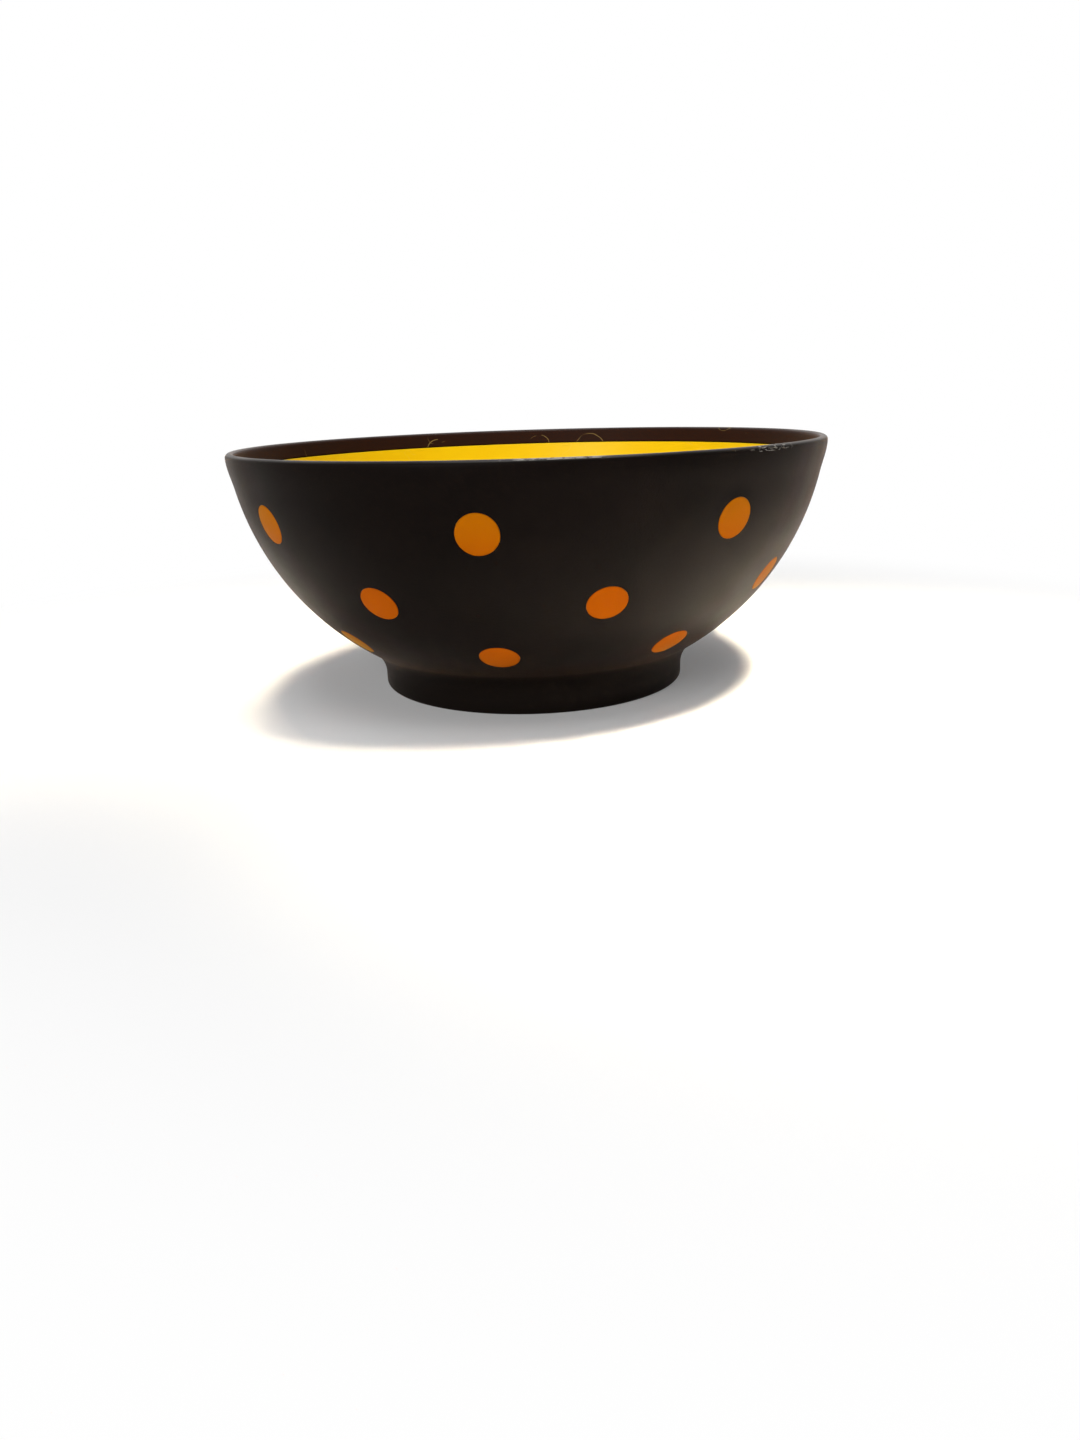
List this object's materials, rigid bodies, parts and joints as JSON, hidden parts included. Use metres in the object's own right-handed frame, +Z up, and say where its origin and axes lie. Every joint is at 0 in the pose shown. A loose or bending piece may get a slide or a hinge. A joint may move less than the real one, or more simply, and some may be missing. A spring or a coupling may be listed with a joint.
{
  "type": "plastic bowl",
  "caption": "Deep round plastic bowl on a foot ring, black outside with a yellow liner and rows of flush amber dots, for serving food.",
  "frame": {"origin": "centre of the circle that the foot ring stands on, on the base plane", "axes": "+Z up along the bowl's axis, -Y to the front, through the middle of a dot of the upper row"},
  "size_m": [0.2, 0.2, 0.0823],
  "materials": {
    "shell_black": "satin warm black, fine moulded grain",
    "liner_yellow": "satin golden yellow",
    "dot_amber": "satin amber"
  },
  "bodies": {
    "root": {"outer_shell": "shell_black", "inner_liner": "liner_yellow", "dot_upper_1": "dot_amber", "dot_upper_2": "dot_amber", "dot_upper_3": "dot_amber", "dot_upper_4": "dot_amber", "dot_upper_5": "dot_amber", "dot_upper_6": "dot_amber", "dot_upper_7": "dot_amber", "dot_upper_8": "dot_amber", "dot_middle_1": "dot_amber", "dot_middle_2": "dot_amber", "dot_middle_3": "dot_amber", "dot_middle_4": "dot_amber", "dot_middle_5": "dot_amber", "dot_middle_6": "dot_amber", "dot_middle_7": "dot_amber", "dot_middle_8": "dot_amber", "dot_lower_1": "dot_amber", "dot_lower_2": "dot_amber", "dot_lower_3": "dot_amber", "dot_lower_4": "dot_amber", "dot_lower_5": "dot_amber", "dot_lower_6": "dot_amber", "dot_lower_7": "dot_amber", "dot_lower_8": "dot_amber"}
  },
  "joints": []
}
